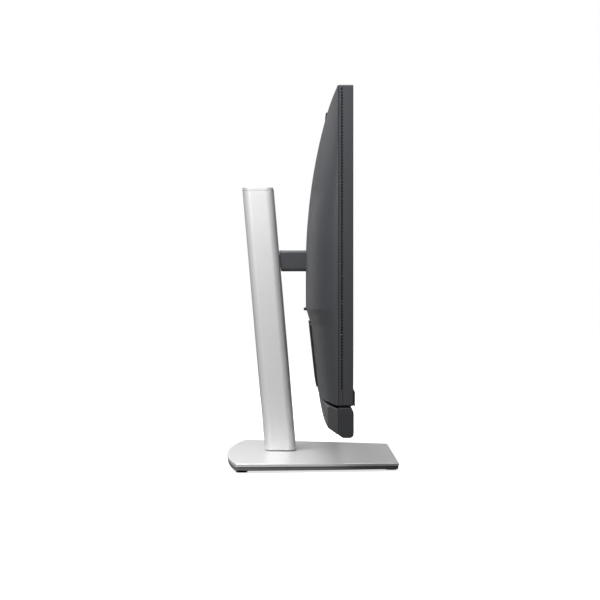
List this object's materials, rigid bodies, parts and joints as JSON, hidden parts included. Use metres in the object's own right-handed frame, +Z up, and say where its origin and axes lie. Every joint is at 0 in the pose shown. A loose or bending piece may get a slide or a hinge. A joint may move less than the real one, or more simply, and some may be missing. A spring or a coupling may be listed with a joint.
{
  "type": "computer monitor",
  "caption": "Desktop monitor with a pop-up camera and a speaker bar, on a leaning column that lifts, tilts, swivels and levels over a flat base.",
  "frame": {"origin": "on the desk, under the middle of the whole object's footprint", "axes": "+X across the screen, to the right of someone who faces it; the screen faces -Y; +Z is up"},
  "size_m": [0.5386, 0.1965, 0.4103],
  "materials": {
    "satin_silver": "satin silver paint, fine even grain",
    "dark_shell": "fine moulded texture, dark grey",
    "bar_shell": "fine moulded texture, dark grey",
    "grey_plastic": "smooth moulded grey",
    "key_plastic": "smooth, softly matt",
    "black_plastic": "fine moulded texture, black",
    "speaker_cloth": "tight woven acoustic cloth",
    "foot_rubber": "matt",
    "steel": "stamped and turned steel",
    "cast_aluminium": "die-cast",
    "screen_film": "anti-glare film over a dark screen",
    "diffuser": "milky",
    "circuit_board": "solder mask",
    "lens_glass": "coated lens"
  },
  "bodies": {
    "base": {"base_cover": "satin_silver", "base_weight": "steel", "base_tray": "dark_shell", "foot_front_left": "foot_rubber", "foot_front_right": "foot_rubber", "foot_rear_left": "foot_rubber", "foot_rear_right": "foot_rubber", "swivel_bearing": "black_plastic"},
    "column": {"swivel_hub": "steel", "swivel_retainer": "steel", "swivel_bolt": "steel", "column_foot": "cast_aluminium", "column_shell": "satin_silver", "column_cap": "satin_silver", "cable_guide": "grey_plastic", "guide_rail_left": "steel", "guide_rail_right": "steel"},
    "carriage": {"carriage": "cast_aluminium", "glide_pad_left": "black_plastic", "glide_pad_right": "black_plastic", "spring_drum": "black_plastic", "lift_spring": "steel", "arm_core": "cast_aluminium", "arm_cover": "dark_shell", "arm_collar": "dark_shell"},
    "tilt_bracket": {"tilt_bracket": "steel", "tilt_pin": "steel", "tilt_spring": "steel", "level_disc": "steel"},
    "head": {"stand_plate": "dark_shell", "rear_cover": "dark_shell", "front_frame": "dark_shell", "chin_bezel": "dark_shell", "lcd_panel": "screen_film", "backlight_stack": "diffuser", "panel_chassis": "cast_aluminium", "main_board": "circuit_board", "power_board": "circuit_board", "io_panel": "black_plastic", "power_inlet": "steel", "video_socket_left": "steel", "video_socket_right": "steel", "usb_socket_left": "steel", "usb_socket_right": "steel", "network_socket": "steel", "bar_housing": "bar_shell", "bar_grille": "speaker_cloth", "bar_bracket_left": "black_plastic", "bar_bracket_right": "black_plastic", "speaker_left": "black_plastic", "speaker_right": "black_plastic", "webcam_guide": "black_plastic"},
    "webcam": {"webcam_housing": "black_plastic", "webcam_lens": "lens_glass"},
    "release": {"release_button": "black_plastic"},
    "power": {"power_button": "black_plastic"},
    "mute": {"mute_button": "key_plastic"},
    "volume_down": {"volume_down_button": "key_plastic"},
    "volume_up": {"volume_up_button": "key_plastic"},
    "call": {"call_button": "key_plastic"}
  },
  "joints": [
    {"name": "swivel", "type": "hinge", "parent": "base", "child": "column", "pos_m": [0, 0.035, 0.0125], "axis": [0, 0, 1], "range_deg": [-30, 30]},
    {"name": "height", "type": "slide", "parent": "column", "child": "carriage", "axis": [0, 0.0864, 0.9963], "range_m": [-0.027, 0.069]},
    {"name": "tilt", "type": "hinge", "parent": "carriage", "child": "tilt_bracket", "pos_m": [0, -0.0076, 0.2367], "axis": [-1, 0, 0], "range_deg": [-5, 21]},
    {"name": "level", "type": "hinge", "parent": "tilt_bracket", "child": "head", "pos_m": [0, -0.0215, 0.2367], "axis": [0, 1, 0], "range_deg": [-4, 4]},
    {"name": "webcam_lift", "type": "slide", "parent": "head", "child": "webcam", "axis": [0, 0, 1], "range_m": [0, 0.022]},
    {"name": "release_press", "type": "slide", "parent": "head", "child": "release", "axis": [0, -1, 0], "range_m": [0, 0.002], "stiffness_N_per_m": 900},
    {"name": "power_press", "type": "slide", "parent": "head", "child": "power", "axis": [0, -1, 0], "range_m": [0, 0.0008], "stiffness_N_per_m": 1200},
    {"name": "mute_press", "type": "slide", "parent": "head", "child": "mute", "axis": [0, 1, 0], "range_m": [0, 0.0005], "stiffness_N_per_m": 1500},
    {"name": "volume_down_press", "type": "slide", "parent": "head", "child": "volume_down", "axis": [0, 1, 0], "range_m": [0, 0.0005], "stiffness_N_per_m": 1500},
    {"name": "volume_up_press", "type": "slide", "parent": "head", "child": "volume_up", "axis": [0, 1, 0], "range_m": [0, 0.0005], "stiffness_N_per_m": 1500},
    {"name": "call_press", "type": "slide", "parent": "head", "child": "call", "axis": [0, 1, 0], "range_m": [0, 0.0005], "stiffness_N_per_m": 1500}
  ]
}
